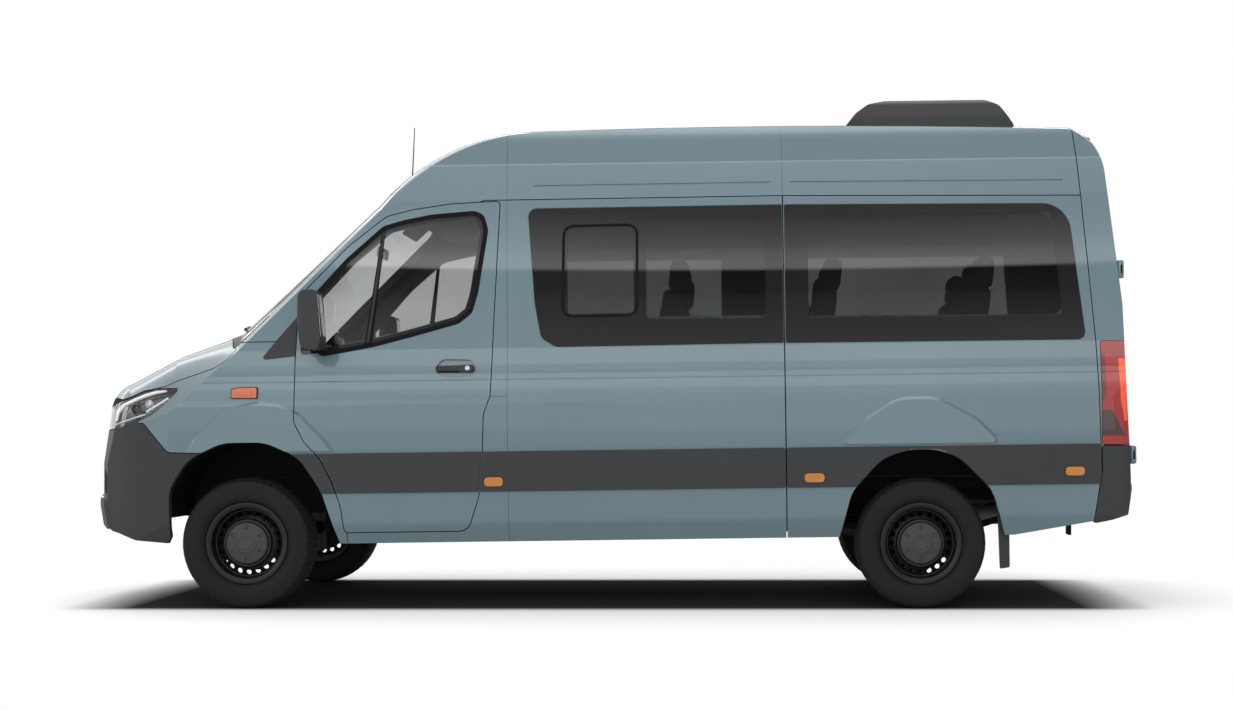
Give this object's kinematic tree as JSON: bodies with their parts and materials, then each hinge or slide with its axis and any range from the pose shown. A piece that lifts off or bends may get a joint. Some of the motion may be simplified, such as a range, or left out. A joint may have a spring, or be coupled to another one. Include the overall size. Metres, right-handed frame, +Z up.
{
  "type": "minibus",
  "caption": "High-roof four-wheel-drive minibus with a short bonnet, large flush side windows, hinged cab doors, twin rear doors and a roof air-conditioning unit.",
  "frame": {"origin": "On the ground plane, midway along the length and on the centre line of the width.", "axes": "-X to the front of the vehicle, +X to its tail, -Y to its left side, +Z up. The body stands nose-down by body_rake about the lateral axis."},
  "size_m": [5.9423, 2.344, 2.864],
  "materials": {
    "paint": "gloss",
    "black_plastic": "matte",
    "glass": "clear",
    "screen": "clear",
    "steel_black": "gloss",
    "tyre": "matte",
    "lamp": "clear",
    "lamp_red": "gloss",
    "chassis": "gloss",
    "iron": "rough",
    "floor": "matte",
    "fabric": "woven",
    "dash": "matte"
  },
  "bodies": {
    "body": {"floor_pan": "floor", "wheel_housings": "chassis", "roof_panel": "paint", "windscreen": "screen", "front_wings": "paint", "side_panels": "paint", "rear_frame": "paint", "side_windows": "glass", "front_bumper": "black_plastic", "grille_and_cowl": "black_plastic", "headlamps": "lamp", "tail_lamps": "lamp_red", "rear_bumper": "black_plastic", "side_mouldings": "black_plastic", "sliding_door": "paint", "chassis_frame": "chassis", "engine_block": "iron", "tank_and_exhaust": "iron", "dashboard": "dash", "steering_wheel": "dash", "front_seats": "fabric", "passenger_seats": "fabric", "roof_air_conditioner": "black_plastic", "front_axle": "chassis", "rear_axle": "chassis", "propshaft": "iron"},
    "bonnet": {"bonnet": "paint"},
    "front_door_left": {"front_door_left": "paint", "front_door_glass_left": "glass", "front_door_trim_left": "black_plastic"},
    "rear_door_left": {"rear_door_left": "paint", "rear_door_glass_left": "glass"},
    "knuckle_left": {"knuckle_left": "iron"},
    "wheel_front_left": {"rim_front_left": "steel_black", "tyre_front_left": "tyre"},
    "wheel_rear_left": {"rim_rear_left": "steel_black", "tyre_rear_left": "tyre"},
    "front_door_right": {"front_door_right": "paint", "front_door_glass_right": "glass", "front_door_trim_right": "black_plastic"},
    "rear_door_right": {"rear_door_right": "paint", "rear_door_glass_right": "glass"},
    "knuckle_right": {"knuckle_right": "iron"},
    "wheel_front_right": {"rim_front_right": "steel_black", "tyre_front_right": "tyre"},
    "wheel_rear_right": {"rim_rear_right": "steel_black", "tyre_rear_right": "tyre"}
  },
  "joints": [
    {"name": "steering_left", "type": "hinge", "parent": "body", "child": "knuckle_left", "pos_m": [-1.962, -0.77, 0.356], "axis": [0, 0, 1], "range_deg": [-35, 35]},
    {"name": "wheel_front_left_spin", "type": "hinge", "parent": "knuckle_left", "child": "wheel_front_left", "pos_m": [-1.962, -0.86, 0.356], "axis": [0, 1, 0], "continuous": true},
    {"name": "wheel_rear_left_spin", "type": "hinge", "parent": "body", "child": "wheel_rear_left", "pos_m": [1.703, -0.86, 0.356], "axis": [0, 1, 0], "continuous": true},
    {"name": "front_door_left_hinge", "type": "hinge", "parent": "body", "child": "front_door_left", "pos_m": [-1.69621, -1.014, 0.90351], "axis": [0.0131, 0, -0.9999], "range_deg": [0, 70]},
    {"name": "rear_door_left_hinge", "type": "hinge", "parent": "body", "child": "rear_door_left", "pos_m": [2.86547, -0.906, 1.26325], "axis": [0.0131, 0, -0.9999], "range_deg": [0, 180]},
    {"name": "steering_right", "type": "hinge", "parent": "body", "child": "knuckle_right", "pos_m": [-1.962, 0.77, 0.356], "axis": [0, 0, 1], "range_deg": [-35, 35]},
    {"name": "wheel_front_right_spin", "type": "hinge", "parent": "knuckle_right", "child": "wheel_front_right", "pos_m": [-1.962, 0.86, 0.356], "axis": [0, 1, 0], "continuous": true},
    {"name": "wheel_rear_right_spin", "type": "hinge", "parent": "body", "child": "wheel_rear_right", "pos_m": [1.703, 0.86, 0.356], "axis": [0, 1, 0], "continuous": true},
    {"name": "front_door_right_hinge", "type": "hinge", "parent": "body", "child": "front_door_right", "pos_m": [-1.69621, 1.014, 0.90351], "axis": [-0.0131, 0, 0.9999], "range_deg": [0, 70]},
    {"name": "rear_door_right_hinge", "type": "hinge", "parent": "body", "child": "rear_door_right", "pos_m": [2.86547, 0.906, 1.26325], "axis": [-0.0131, 0, 0.9999], "range_deg": [0, 180]},
    {"name": "bonnet_hinge", "type": "hinge", "parent": "body", "child": "bonnet", "pos_m": [-2.02476, 0, 1.55426], "axis": [0, 1, 0], "range_deg": [0, 50]}
  ],
  "couplings": [
    {"joint": "steering_right", "follows": "steering_left", "ratio": 1}
  ]
}
